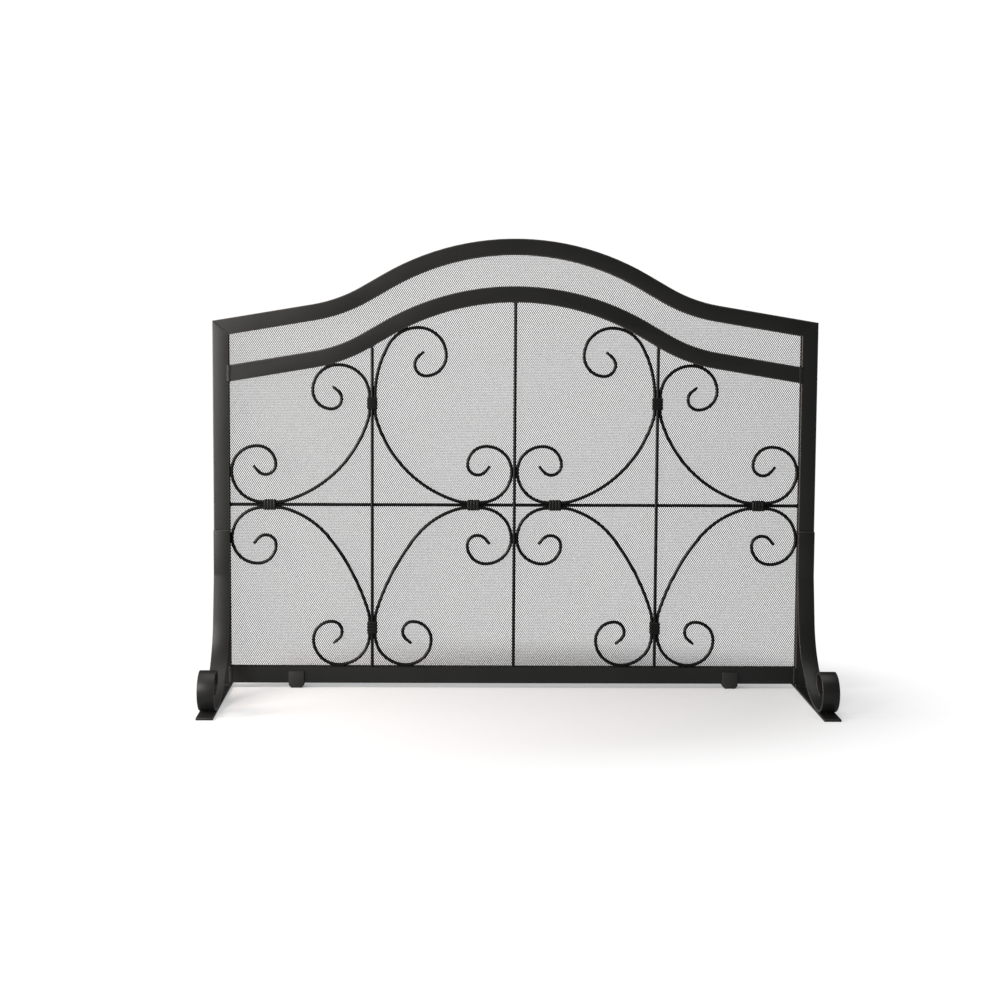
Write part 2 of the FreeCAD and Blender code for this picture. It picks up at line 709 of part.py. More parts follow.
def leg_steps():
    """Down the post, forward in a sweep that meets the foot bar flat, and round into a roll.
    The straight below the kink and the sweep's radius follow from where the roll starts."""
    kink = math.radians(size("strap_kink_turn"))
    kink_radius = size("strap_kink_radius")
    back = half_depth + strap / 2
    roll_start = size("foot_front_reach") - size("roll_setback") - strap / 2 - size("roll_first")
    forward = roll_start - back - kink_radius * (1 - math.cos(kink))
    down = size("strap_kink_height") - foot_bar - strap / 2 - kink_radius * math.sin(kink)
    open_part = 1 - math.sin(kink)
    straight = down * math.cos(kink) / open_part - forward
    sweep = (forward * math.cos(kink) - down * math.sin(kink)) / open_part
    return [(size("strap_top") - size("strap_kink_height"),),
            (kink_radius, -size("strap_kink_turn")),
            (straight,),
            (sweep, size("strap_kink_turn") - 90),
            (size("roll_first"), -90),
            (size("roll_second"), -90),
            (size("roll_third"), -90),
            (size("roll_eye"), -size("roll_eye_turn")),
            (size("roll_tip"),)]


def leg_strap(node, side):
    body = new_body(node)
    sketch = new_sketch(body, "Profile", "YZ_Plane", Placement(Vector(0, 0, side * foot_x), Rotation()))
    top = flat(-half_depth - strap / 2, size("strap_top"))
    draw(sketch, strip_outline(leg_steps(), top, -90, strap))
    pad(body, sketch, "Sizes.tube_face")
    return body


def rail_glide(node, side):
    """A glide clipped under the bottom rail. It carries the middle of the screen, and its back
    lip stops below the mesh."""
    wall = size("glide_wall")
    inner = half_depth + size("glide_gap")
    low = size("bottom_rail_gap")
    body = new_body(node)
    sketch = new_sketch(body, "Profile", "YZ_Plane",
                        Placement(Vector(0, 0, side * size("glide_offset")), Rotation()))
    draw(sketch, lines([
        flat(-inner - wall, 0), flat(inner + wall, 0),
        flat(inner + wall, low + size("glide_back_lap")), flat(inner, low + size("glide_back_lap")),
        flat(inner, low), flat(-inner, low),
        flat(-inner, low + size("glide_front_lap")), flat(-inner - wall, low + size("glide_front_lap"))]))
    clip = pad(body, sketch, "Sizes.glide_width")
    doc.recompute()
    ends = [f"Edge{number}" for number, edge in enumerate(clip.Shape.Edges, start=1)
            if abs(edge.CenterOfMass.z) < 0.001 and edge.BoundBox.YLength > 2 * inner]
    corners = body.newObject("PartDesign::Chamfer", "Corners")
    corners.Base = (clip, ends)
    corners.setExpression("Size", "Sizes.glide_corner")
    return body


# --- build, check and write --------------------------------------------------------------

nodes = [
    post("left_post", -1), post("right_post", 1),
    top_arch_rail(), lower_arch_rail(), bottom_rail(),
    mesh_sheet(), arch_retainer(), bottom_retainer(),
    side_retainer("left_mesh_retainer", -1), side_retainer("right_mesh_retainer", 1),
    strip_screws(),
    upright_rod("left_rod", -medallion_x), upright_rod("centre_rod", 0),
    upright_rod("right_rod", medallion_x), cross_rod(),
    foot_bar_under("left_foot_bar", -1), foot_bar_under("right_foot_bar", 1),
    leg_strap("left_leg_strap", -1), leg_strap("right_leg_strap", 1),
    rail_glide("left_rail_glide", -1), rail_glide("right_rail_glide", 1),
]
nodes += scrolls() + collars()
frame_setback = size("foot_front_reach") - size("foot_depth") / 2
for node in nodes:
    node.Placement = Placement(Vector(0, frame_setback, 0), Rotation()) * node.Placement
doc.recompute()

for item in doc.Objects:
    if "Invalid" in item.State or "Error" in item.State:
        raise RuntimeError(f"{item.Label} failed to build")
for node in nodes:
    if node.Shape.isNull() or not node.Shape.isValid():
        raise RuntimeError(f"{node.Label} has no valid shape")
    if node.Label in ROD_LENGTHS:
        expected = math.pi * scroll_radius ** 2 * ROD_LENGTHS[node.Label]
        if abs(node.Shape.Volume / expected - 1) > 0.01:
            raise RuntimeError(f"{node.Label} isn't a rod of its own length")
for node in nodes:
    node.Shape.exportStep(f"parts/{node.Label}.step")
print(len(nodes), "nodes written")
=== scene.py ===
import math
from itertools import count

import bmesh
import bpy
from mathutils import Matrix, Vector
from mathutils.bvhtree import BVHTree


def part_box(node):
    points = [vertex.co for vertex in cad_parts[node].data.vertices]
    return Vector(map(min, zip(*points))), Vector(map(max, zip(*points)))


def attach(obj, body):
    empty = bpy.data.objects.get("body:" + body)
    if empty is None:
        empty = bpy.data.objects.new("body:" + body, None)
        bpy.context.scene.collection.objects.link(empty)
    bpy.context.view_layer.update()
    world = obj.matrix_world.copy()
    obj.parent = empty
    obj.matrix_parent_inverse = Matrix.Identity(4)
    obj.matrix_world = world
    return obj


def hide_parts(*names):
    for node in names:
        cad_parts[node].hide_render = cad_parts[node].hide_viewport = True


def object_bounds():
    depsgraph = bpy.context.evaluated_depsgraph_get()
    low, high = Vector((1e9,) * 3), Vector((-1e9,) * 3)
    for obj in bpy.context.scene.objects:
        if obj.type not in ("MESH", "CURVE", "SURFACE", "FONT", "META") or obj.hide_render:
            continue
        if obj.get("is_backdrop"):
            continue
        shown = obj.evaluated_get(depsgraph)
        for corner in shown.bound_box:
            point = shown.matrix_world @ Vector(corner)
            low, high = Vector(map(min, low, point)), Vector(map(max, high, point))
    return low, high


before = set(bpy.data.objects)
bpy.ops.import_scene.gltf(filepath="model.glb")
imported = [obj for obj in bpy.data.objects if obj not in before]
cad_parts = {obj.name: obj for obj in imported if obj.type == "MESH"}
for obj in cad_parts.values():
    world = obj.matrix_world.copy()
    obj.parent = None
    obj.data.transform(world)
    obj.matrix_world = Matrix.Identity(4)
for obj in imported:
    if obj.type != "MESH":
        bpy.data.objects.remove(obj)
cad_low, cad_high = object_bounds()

# --- the studio --------------------------------------------------------------------------
# The screen stands on pale paper that runs into an even white sweep. Soft lights stand to the
# left and overhead, with a weak one to the right. The sweep and the paper are bright for the
# camera only, so that the black coat isn't washed out by them.

scene = bpy.context.scene
scene.view_settings.view_transform = "Standard"

camera_data = bpy.data.cameras.new("studio_camera")
camera_data.sensor_width = 36
camera_data.lens = 52.19
camera_data.shift_x = 0.0475
camera_data.shift_y = -0.1026
camera_data.clip_end = 60
camera = bpy.data.objects.new("studio_camera", camera_data)
scene.collection.objects.link(camera)
yaw, pitch, roll = (math.radians(angle) for angle in (-0.235, -4.087, -0.21))
camera.matrix_world = (Matrix.Translation((-0.1268, -2.6213, 0.7367))
                       @ Matrix.Rotation(yaw, 4, "Z") @ Matrix.Rotation(pitch, 4, "X")
                       @ Matrix.Rotation(roll, 4, "Y") @ Matrix.Rotation(math.pi / 2, 4, "X"))
scene.camera = camera


class Link:
    """One output of a node. Arithmetic on it adds Math nodes to the same tree."""

    def __init__(self, graph, socket):
        self.graph = graph
        self.socket = socket

    def work_out(self, operation, *values):
        return self.graph.node("ShaderNodeMath", {"operation": operation},
                               dict(enumerate(values)))

    def __add__(self, other):
        return self.work_out("ADD", self, other)

    def __sub__(self, other):
        return self.work_out("SUBTRACT", self, other)

    def __rsub__(self, other):
        return self.work_out("SUBTRACT", other, self)

    def __mul__(self, other):
        return self.work_out("MULTIPLY", self, other)

    def __truediv__(self, other):
        return self.work_out("DIVIDE", self, other)

    __radd__ = __add__
    __rmul__ = __mul__


class Graph:
    """The node tree of a material, of the world or of a geometry modifier."""

    def __init__(self, tree):
        self.tree = tree

    def node(self, kind, settings, inputs, output=0):
        made = self.tree.nodes.new(kind)
        for name, value in settings.items():
            setattr(made, name, value)
        for name, value in inputs.items():
            self.feed(made.inputs[name], value)
        return Link(self, made.outputs[output])

    def feed(self, socket, value):
        if isinstance(value, Link):
            self.tree.links.new(value.socket, socket)
        else:
            socket.default_value = value


def material_graph(name):
    material = bpy.data.materials.new(name)
    material.use_nodes = True
    return material, Graph(material.node_tree), material.node_tree.nodes["Principled BSDF"]


WHITE = (1, 1, 1, 1)
SWEEP_WHITE = 1.02
ROOM_GREY = 0.045

world = bpy.data.worlds.new("studio_room")
world.use_nodes = True
scene.world = world
room = Graph(world.node_tree)
seen_sweep = room.node("ShaderNodeBackground", {}, {"Color": WHITE, "Strength": SWEEP_WHITE})
lit_by_room = room.node("ShaderNodeBackground", {}, {"Color": WHITE, "Strength": ROOM_GREY})
seen = room.node("ShaderNodeLightPath", {}, {}, "Is Camera Ray")
sky = room.node("ShaderNodeMixShader", {}, {0: seen, 1: lit_by_room, 2: seen_sweep})
room.feed(world.node_tree.nodes["World Output"].inputs["Surface"], sky)


def soft_light(name, place, target, width, height, watts, colour):
    data = bpy.data.lights.new(name, "AREA")
    data.shape = "RECTANGLE"
    data.size, data.size_y = width, height
    data.energy = watts
    data.color = colour
    light = bpy.data.objects.new(name, data)
    scene.collection.objects.link(light)
    light.location = place
    light.rotation_euler = (Vector(target) - Vector(place)).to_track_quat("-Z", "Y").to_euler()


soft_light("left_softbox", (-1.75, -1.75, 0.9), (-0.5, 0, 0.5), 0.9, 1.4, 40, (1.0, 0.98, 0.96))
soft_light("left_rim", (-1.9, -0.35, 0.8), (-0.5, 0, 0.5), 0.6, 1.5, 36, (1.0, 0.86, 0.78))
soft_light("right_fill", (2.8, -2.4, 1.2), (0.3, 0, 0.4), 1.6, 1.6, 1, (0.95, 0.97, 1.0))
soft_light("overhead", (0, 0.2, 3.2), (0, 0, 0), 3.0, 3.0, 40, (1, 1, 1))

FLOOR_SIZE = 14
FLOOR_DROP = 0.0002
FLOOR_GREY = 0.27
PAPER_GLOW = 0.27
FADE_START = 0.42
FADE_END = 0.82

floor_mesh = bpy.data.meshes.new("studio_floor")
half = FLOOR_SIZE / 2
floor_level = cad_low.z - FLOOR_DROP
floor_mesh.from_pydata([(-half, -half, floor_level), (half, -half, floor_level),
                        (half, half, floor_level), (-half, half, floor_level)],
                       [], [(0, 1, 2, 3)])
floor = bpy.data.objects.new("studio_floor", floor_mesh)
scene.collection.objects.link(floor)
paper, graph, surface = material_graph("floor_paper")
place = graph.node("ShaderNodeTexCoord", {}, {}, "Object")
fibre = graph.node("ShaderNodeTexNoise", {}, {"Vector": place, "Scale": 45, "Detail": 2})
tone = graph.node("ShaderNodeMix", {"data_type": "RGBA"},
                  {0: fibre, 6: (0.83, 0.85, 0.87, 1), 7: (0.86, 0.88, 0.9, 1)}, 2)
graph.feed(surface.inputs["Base Color"], tone)
surface.inputs["Roughness"].default_value = 0.75
surface.inputs["Specular IOR Level"].default_value = 0.2
surface.inputs["Emission Color"].default_value = (1, 0.99, 0.985, 1)
surface.inputs["Emission Strength"].default_value = PAPER_GLOW
stretched = graph.node("ShaderNodeVectorMath", {"operation": "MULTIPLY"},
                       {0: place, 1: (0.95, 1.7, 1)})
far = graph.node("ShaderNodeVectorMath", {"operation": "LENGTH"}, {0: stretched}, "Value")
fade = graph.node("ShaderNodeMapRange", {"interpolation_type": "SMOOTHSTEP"},
                  {"Value": far, "From Min": FADE_START, "From Max": FADE_END,
                   "To Min": 0, "To Max": 1})
sweep = graph.node("ShaderNodeEmission", {}, {"Color": WHITE, "Strength": SWEEP_WHITE})
meeting = graph.node("ShaderNodeMixShader", {},
                     {0: fade, 1: Link(graph, surface.outputs[0]), 2: sweep})
dim = graph.node("ShaderNodeEmission", {}, {"Color": WHITE, "Strength": FLOOR_GREY})
seen = graph.node("ShaderNodeLightPath", {}, {}, "Is Camera Ray")
paper_seen = graph.node("ShaderNodeMixShader", {}, {0: seen, 1: dim, 2: meeting})
graph.feed(graph.tree.nodes["Material Output"].inputs["Surface"], paper_seen)
floor_mesh.materials.append(paper)
floor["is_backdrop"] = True

# --- the welded tube frame ---------------------------------------------------------------
# Two posts, a double arch and a bottom rail of 30 by 15 mm steel tube, mitred at the top
# corners and butted elsewhere. Rolled tube has round corners, which get a paler, warmer coat
# than the flats: a painted highlight along every round edge.

CORNER_RADIUS = 0.0019
SHORTEST_EDGE = 0.0016
CLOUD_SCALE, PEEL_SCALE, GRIT_SCALE = 9, 620, 2600
PEEL_DEPTH = 0.000035
frame_middle = (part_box("left_post")[0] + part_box("left_post")[1]).y / 2
tube_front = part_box("left_post")[0].y
post_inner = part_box("right_post")[0].x
post_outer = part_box("right_post")[1].x


def powder_coat(name, dark, pale, roughness, shine=0.45):
    """Powder coat: clouds of slightly paler, duller coat, a fine orange peel, and grit."""
    material, graph, surface = material_graph(name)
    place = graph.node("ShaderNodeTexCoord", {}, {}, "Object")

    def noise(scale, detail):
        return graph.node("ShaderNodeTexNoise", {},
                          {"Vector": place, "Scale": scale, "Detail": detail}, "Fac")

    clouds, peeling, grit = noise(CLOUD_SCALE, 4), noise(PEEL_SCALE, 1), noise(GRIT_SCALE, 0)
    tone = graph.node("ShaderNodeMix", {"data_type": "RGBA"},
                      {0: clouds * 0.7 + grit * 0.3, 6: (*dark, 1), 7: (*pale, 1)}, 2)
    graph.feed(surface.inputs["Base Color"], tone)
    graph.feed(surface.inputs["Roughness"], clouds * 0.16 + (roughness - 0.12) + peeling * 0.08)
    bump = graph.node("ShaderNodeBump", {},
                      {"Strength": 0.8, "Distance": PEEL_DEPTH,
                       "Height": peeling * 0.75 + grit * 0.25})
    graph.feed(surface.inputs["Normal"], bump)
    surface.inputs["Specular IOR Level"].default_value = shine
    return material


frame_coat = powder_coat("frame_coat", (0.010, 0.0105, 0.0105), (0.024, 0.0245, 0.0235), 0.42)
# The paler, warmer coat for the rounds of tubes and bars is a painted edge highlight.
edge_highlight_coat = powder_coat("edge_highlight_coat", (0.045, 0.038, 0.035), (0.085, 0.072, 0.066), 0.36)


def body_copy(node):
    """A clean mesh of a CAD node: loose triangles joined, and flat faces made whole."""
    shape = bmesh.new()
    shape.from_mesh(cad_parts[node].data)
    bmesh.ops.remove_doubles(shape, verts=shape.verts, dist=1e-6)
    bmesh.ops.dissolve_limit(shape, angle_limit=math.radians(0.05),
                             verts=shape.verts, edges=shape.edges)
    return shape


def sharp(edge):
    return len(edge.link_faces) == 2 and edge.calc_face_angle() > math.radians(30)


def round_edges(shape, edges, radius, steps):
    """Rounds the given edges and puts the rounds in the second material."""
    made = bmesh.ops.bevel(shape, geom=edges, offset=radius, segments=steps, profile=0.5,
                           affect="EDGES", clamp_overlap=True, offset_type="OFFSET")
    for face in shape.faces:
        face.smooth = True
    for face in made["faces"]:
        face.material_index = 1


def finished(name, shape, materials, slot, *nodes):
    """Makes the object for a mesh, and has it ride on the screen in place of the nodes."""
    mesh = bpy.data.meshes.new(name)
    shape.to_mesh(mesh)
    shape.free()
    for material in materials:
        mesh.materials.append(material)
    mesh.shade_smooth()
    mesh.set_sharp_from_angle(angle=math.radians(22))
    piece = bpy.data.objects.new(name, mesh)
    scene.collection.objects.link(piece)
    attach(piece, "root")
    if nodes:
        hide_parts(*nodes)


def long_outer_edge(edge, upright):
    """An edge along the outside of a tube, not one round its end, its bore or a hole."""
    if not sharp(edge) or edge.calc_length() < SHORTEST_EDGE:
        return False
    start, end = (corner.co for corner in edge.verts)
    nearest = min(abs(start.y - frame_middle), abs(end.y - frame_middle))
    if nearest < (frame_middle - tube_front) * 0.95 or abs(start.y - end.y) > 1e-4:
        return False
    if upright:
        return abs((end - start).normalized().z) > 0.99
    return min(abs(start.x), abs(end.x)) < post_inner - 1e-4


for node in ("left_post", "right_post", "top_arch_rail", "lower_arch_rail", "bottom_rail"):
    shape = body_copy(node)
    upright = node.endswith("post")
    corners = [edge for edge in shape.edges if long_outer_edge(edge, upright)]
    round_edges(shape, corners, CORNER_RADIUS, 4)
    finished(f"{node}_tube", shape, [frame_coat, edge_highlight_coat], "frame", node)

# --- the straight rods -------------------------------------------------------------------
# Three upright round rods and one cross rod, cut to length and welded between the rails and
# posts. They are solid drawn steel under the same coat, a little glossier than the tube.

rod_coat = powder_coat("rod_coat", (0.004, 0.0042, 0.0042), (0.009, 0.0092, 0.009), 0.36, 0.24)
for node in ("left_rod", "centre_rod", "right_rod", "cross_rod"):
    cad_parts[node].material_slots[0].material = rod_coat

# --- the scrolls -------------------------------------------------------------------------
# Eight 6 mm rods, each bent round a former into a C with a volute at both ends. The ends
# are drawn down a little on the last straight and dressed round before bending.

TIP_TAPER = 0.74
TIP_ROUND = 0.0011
SCROLLS = [f"{side}_{level}_{place}_scroll" for side in ("left", "right")
           for level in ("upper", "lower") for place in ("outer", "inner")]
for node in SCROLLS:
    shape = bmesh.new()
    shape.from_mesh(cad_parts[node].data)
    bmesh.ops.remove_doubles(shape, verts=shape.verts, dist=1e-6)
    rims = [edge for edge in shape.edges if sharp(edge)]
    rim_corners = {corner for edge in rims for corner in edge.verts}
    caps = [face for face in shape.faces if all(corner in rim_corners for corner in face.verts)]
    for end in bmesh.ops.dissolve_faces(shape, faces=caps)["region"]:
        middle = end.calc_center_median()
        for corner in end.verts:
            corner.co = middle + (corner.co - middle) * TIP_TAPER
    rims = [edge for edge in shape.edges if sharp(edge)]
    round_edges(shape, rims, TIP_ROUND, 3)
    for face in shape.faces:
        face.material_index = 0
    finished(f"{node}_rod", shape, [rod_coat], "scrolls", node)

# --- the collars -------------------------------------------------------------------------
# Eight short bands pressed round the rods where scrolls meet. Each is a strip of sheet with
# four rolled ribs, wrapped and closed at the back.

RIBS = 4
RIB_DEPTH = 0.0006
LIP_DEPTH = 0.0011
BAND_CORNER = 0.0011
COLLAR_STEPS = 32
collar_coat = powder_coat("collar_coat", (0.005, 0.0052, 0.0052), (0.011, 0.0112, 0.011), 0.4, 0.3)


def rounded_ring(half_width, half_depth, corner, per_corner=5):
    """Points round a rectangle with round corners, about the origin."""
    points = []
    for quarter, (x, y) in enumerate(((1, 1), (-1, 1), (-1, -1), (1, -1))):
        centre = Vector((x * (half_width - corner), y * (half_depth - corner)))
        for step in range(per_corner):
            angle = math.pi / 2 * (quarter + step / (per_corner - 1))
            points.append(centre + Vector((math.cos(angle), math.sin(angle))) * corner)
    return points


def collar_piece(node, side_on):
    """A ribbed band as large as the CAD collar. `side_on` bands lie along X, others along Z."""
    low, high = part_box(node)
    middle, size = (low + high) / 2, high - low
    length = size.x if side_on else size.z
    across = size.z if side_on else size.x
    shape = bmesh.new()
    rings = []
    for step in range(COLLAR_STEPS + 1):
        share = step / COLLAR_STEPS
        rib = abs(math.sin(math.pi * RIBS * share)) ** 0.6
        proud = RIB_DEPTH * (rib - 1)
        lip = LIP_DEPTH * max(0, 1 - min(share, 1 - share) * COLLAR_STEPS / 2)
        ring = rounded_ring(across / 2 + proud - lip, size.y / 2 + proud - lip, BAND_CORNER)
        along = (share - 0.5) * length
        corners = [(along, point.y, point.x) if side_on else (point.x, point.y, along)
                   for point in ring]
        rings.append([shape.verts.new(middle + Vector(corner)) for corner in corners])
    for lower, upper in zip(rings, rings[1:]):
        for number in range(len(lower)):
            following = (number + 1) % len(lower)
            shape.faces.new((lower[number], lower[following], upper[following], upper[number]))
    for ring in (rings[0], rings[-1]):
        shape.faces.new(ring)
    bmesh.ops.remove_doubles(shape, verts=shape.verts, dist=1e-7)
    bmesh.ops.recalc_face_normals(shape, faces=shape.faces)
    finished(f"{node}_band", shape, [collar_coat], "collars", node)


for side in ("left", "right"):
    for place in ("top", "bottom"):
        collar_piece(f"{side}_{place}_collar", False)
    for place in ("outer", "inner"):
        collar_piece(f"{side}_{place}_collar", True)

# --- the mesh ----------------------------------------------------------------------------
# Fine diamond mesh of steel wire, cut to the frame's outline and blackened. Two layers of
# slanting wire cross each other and are fused where they touch.

DIAMOND_WIDTH = 0.0037
DIAMOND_HEIGHT = 0.00585
WIRE_THICKNESS = 0.00096
SEARCH_DEPTH = 0.04
mesh_low, mesh_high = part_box("mesh_sheet")


def geometry_graph(name, sizes):
    """A geometry tree with one named input for each size. Returns the tree, its inputs as
    links, and their identifiers."""
    tree = bpy.data.node_groups.new(name, "GeometryNodeTree")
    tree.interface.new_socket("Geometry", in_out="OUTPUT", socket_type="NodeSocketGeometry")
    identifiers = {}
    for label, kind in sizes.items():
        socket = tree.interface.new_socket(label, in_out="INPUT", socket_type=kind)
        identifiers[label] = socket.identifier
    graph = Graph(tree)
    entry = tree.nodes.new("NodeGroupInput")
    return graph, {label: Link(graph, entry.outputs[label]) for label in sizes}, identifiers


def close_graph(graph, geometry, material):
    """Ends a tree: real geometry, with its material."""
    real = graph.node("GeometryNodeRealizeInstances", {}, {0: geometry})
    coated = graph.node("GeometryNodeSetMaterial", {}, {"Geometry": real, "Material": material})
    graph.feed(graph.tree.nodes.new("NodeGroupOutput").inputs[0], coated)


def grown(tree, identifiers, values):
    """The plain mesh that a tree makes from the given sizes."""
    holder = bpy.data.objects.new("holder", bpy.data.meshes.new("holder"))
    scene.collection.objects.link(holder)
    modifier = holder.modifiers.new("grow", "NODES")
    modifier.node_group = tree
    for label, value in values.items():
        modifier[identifiers[label]] = value
    seen = holder.evaluated_get(bpy.context.evaluated_depsgraph_get())
    mesh = bpy.data.meshes.new_from_object(seen)
    bpy.data.objects.remove(holder)
    return mesh


mesh_black, graph, surface = material_graph("mesh_wire")
place = graph.node("ShaderNodeTexCoord", {}, {}, "Object")
scale = graph.node("ShaderNodeTexNoise", {}, {"Vector": place, "Scale": 30, "Detail": 3}, "Fac")
tone = graph.node("ShaderNodeMix", {"data_type": "RGBA"},
                  {0: scale, 6: (0.05, 0.05, 0.051, 1), 7: (0.085, 0.085, 0.087, 1)}, 2)
graph.feed(surface.inputs["Base Color"], tone)
graph.feed(surface.inputs["Roughness"], scale * 0.2 + 0.38)

graph, wire, wire_inputs = geometry_graph("slanting_wires", {
    "Wires": "NodeSocketInt", "Steps": "NodeSocketInt", "First X": "NodeSocketFloat",
    "Low Z": "NodeSocketFloat", "Layer Y": "NodeSocketFloat", "Spacing": "NodeSocketFloat",
    "Step X": "NodeSocketFloat", "Step Z": "NodeSocketFloat", "Thickness": "NodeSocketFloat",
    "Sheet": "NodeSocketObject"})
step_offset = graph.node("ShaderNodeCombineXYZ", {}, {"X": wire["Step X"], "Z": wire["Step Z"]})
one_wire = graph.node("GeometryNodeMeshLine", {}, {"Count": wire["Steps"], "Offset": step_offset})
first = graph.node("ShaderNodeCombineXYZ", {},
                   {"X": wire["First X"], "Y": wire["Layer Y"], "Z": wire["Low Z"]})
spread = graph.node("ShaderNodeCombineXYZ", {}, {"X": wire["Spacing"]})
row = graph.node("GeometryNodeMeshLine", {},
                 {"Count": wire["Wires"], "Start Location": first, "Offset": spread})
wires = graph.node("GeometryNodeInstanceOnPoints", {}, {"Points": row, "Instance": one_wire})
wires = graph.node("GeometryNodeRealizeInstances", {}, {0: wires})
sheet = graph.node("GeometryNodeObjectInfo", {"transform_space": "ORIGINAL"},
                   {"Object": wire["Sheet"]}, "Geometry")
position = graph.node("GeometryNodeInputPosition", {}, {})
behind = graph.node("ShaderNodeVectorMath", {"operation": "ADD"},
                    {0: position, 1: (0, SEARCH_DEPTH / 2, 0)})
inside = graph.node("GeometryNodeRaycast", {},
                    {"Target Geometry": sheet, "Source Position": behind,
                     "Ray Direction": (0, -1, 0), "Ray Length": SEARCH_DEPTH}, "Is Hit")
outside = graph.node("FunctionNodeBooleanMath", {"operation": "NOT"}, {0: inside})
kept = graph.node("GeometryNodeDeleteGeometry", {}, {"Geometry": wires, "Selection": outside})
ties = graph.node("GeometryNodeInputMeshVertexNeighbors", {}, {}, "Vertex Count")
loose = graph.node("FunctionNodeCompare", {"data_type": "INT", "operation": "EQUAL"},
                   {"A": ties, "B": 0})
kept = graph.node("GeometryNodeDeleteGeometry", {}, {"Geometry": kept, "Selection": loose})
runs = graph.node("GeometryNodeMeshToCurve", {}, {"Mesh": kept})
runs = graph.node("GeometryNodeResampleCurve", {}, {"Curve": runs, "Count": 2})
round_section = graph.node("GeometryNodeCurvePrimitiveCircle", {},
                           {"Resolution": 6, "Radius": wire["Thickness"] / 2})
drawn = graph.node("GeometryNodeCurveToMesh", {},
                   {"Curve": runs, "Profile Curve": round_section, "Fill Caps": True})
close_graph(graph, drawn, mesh_black)

rise = mesh_high.z - mesh_low.z
layer_offset = (mesh_high.y - mesh_low.y - WIRE_THICKNESS) / 2
lean = rise * DIAMOND_WIDTH / DIAMOND_HEIGHT
wires_across = math.ceil((mesh_high.x - mesh_low.x + lean) / DIAMOND_WIDTH)
mesh_wires = bmesh.new()
for slant in (1, -1):
    first_x = mesh_low.x - lean if slant > 0 else mesh_low.x
    layer = (mesh_low.y + mesh_high.y) / 2 + slant * layer_offset
    part = grown(graph.tree, wire_inputs, {
        "Wires": wires_across, "Steps": math.ceil(rise * 2 / DIAMOND_HEIGHT),
        "First X": first_x, "Low Z": mesh_low.z + 0.0005, "Layer Y": layer,
        "Spacing": DIAMOND_WIDTH, "Step X": slant * DIAMOND_WIDTH / 2,
        "Step Z": DIAMOND_HEIGHT / 2, "Thickness": WIRE_THICKNESS,
        "Sheet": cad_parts["mesh_sheet"]})
    mesh_wires.from_mesh(part)
finished("mesh_wires", mesh_wires, [mesh_black], "mesh", "mesh_sheet")

# --- the strips and screws behind the mesh -----------------------------------------------
# Flat steel strips clamp the mesh's edge to the back of the frame. Pan-head screws with a
# cross recess go through strip and mesh into the tube.

strip_coat = powder_coat("strip_coat", (0.016, 0.0165, 0.0165), (0.03, 0.0305, 0.03), 0.5)
for node in ("arch_mesh_retainer", "bottom_mesh_retainer", "left_mesh_retainer",
             "right_mesh_retainer"):
    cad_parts[node].material_slots[0].material = strip_coat
screw_black = powder_coat("screw_black", (0.02, 0.02, 0.021), (0.045, 0.044, 0.043), 0.3)


def plain_object(name, shape):
    """An object that only lends its mesh to another step, and is removed after it."""
    mesh = bpy.data.meshes.new(name)
    shape.to_mesh(mesh)
    shape.free()
    lender = bpy.data.objects.new(name, mesh)
    scene.collection.objects.link(lender)
    return lender


def turned(profile, segments):
    """A closed solid of revolution about Y, from (radius, place along Y) pairs."""
    shape = bmesh.new()
    rings = []
    for radius, along in profile:
        angles = [math.tau * step / segments for step in range(segments if radius else 1)]
        rings.append([shape.verts.new((radius * math.cos(angle), along, radius * math.sin(angle)))
                      for angle in angles])
    for first, second in zip(rings, rings[1:]):
        for step in range(segments):
            following = (step + 1) % segments
            corners = [first[step % len(first)], first[following % len(first)],
                       second[following % len(second)], second[step % len(second)]]
            shape.faces.new(list(dict.fromkeys(corners)))
    bmesh.ops.recalc_face_normals(shape, faces=shape.faces)
    return shape


screw_places = bmesh.new()
screws = bmesh.new()
screws.from_mesh(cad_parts["strip_screws"].data)
bmesh.ops.remove_doubles(screws, verts=screws.verts, dist=1e-6)
screw_low, screw_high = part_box("strip_screws")
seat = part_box("arch_mesh_retainer")[1].y
unvisited = set(screws.verts)
while unvisited:
    found, still_to_follow = [], [unvisited.pop()]
    while still_to_follow:
        corner = still_to_follow.pop()
        found.append(corner)
        near = {edge.other_vert(corner) for edge in corner.link_edges} & unvisited
        unvisited -= near
        still_to_follow.extend(near)
    xs = [corner.co.x for corner in found]
    zs = [corner.co.z for corner in found]
    screw_places.verts.new(((min(xs) + max(xs)) / 2, seat, (min(zs) + max(zs)) / 2))
screws.free()

HEAD_RADIUS = 0.0035
SHANK_RADIUS = 0.00175
RECESS_LENGTH = 0.0041
RECESS_WIDTH = 0.0009
RECESS_DEPTH = 0.0016
head_height = screw_high.y - seat
shank_end = screw_low.y - seat
screw_shape = turned([(0, shank_end), (SHANK_RADIUS, shank_end), (SHANK_RADIUS, 0),
                      (HEAD_RADIUS, 0), (HEAD_RADIUS, head_height * 0.25),
                      (HEAD_RADIUS * 0.93, head_height * 0.55),
                      (HEAD_RADIUS * 0.76, head_height * 0.82),
                      (HEAD_RADIUS * 0.48, head_height * 0.96), (0, head_height)], 28)
screw = plain_object("screw", screw_shape)
recess = bmesh.new()
for across, up in ((RECESS_LENGTH, RECESS_WIDTH), (RECESS_WIDTH, RECESS_LENGTH)):
    size = Matrix.Diagonal((across, RECESS_DEPTH * 2, up, 1))
    bmesh.ops.create_cube(recess, size=1, matrix=Matrix.Translation((0, head_height, 0)) @ size)
cutter = plain_object("recess", recess)
cut = screw.modifiers.new("recess", "BOOLEAN")
cut.operation = "DIFFERENCE"
cut.solver = "EXACT"
cut.use_self = True
cut.object = cutter
cut_screw = bpy.data.meshes.new_from_object(
    screw.evaluated_get(bpy.context.evaluated_depsgraph_get()))
screw.modifiers.clear()
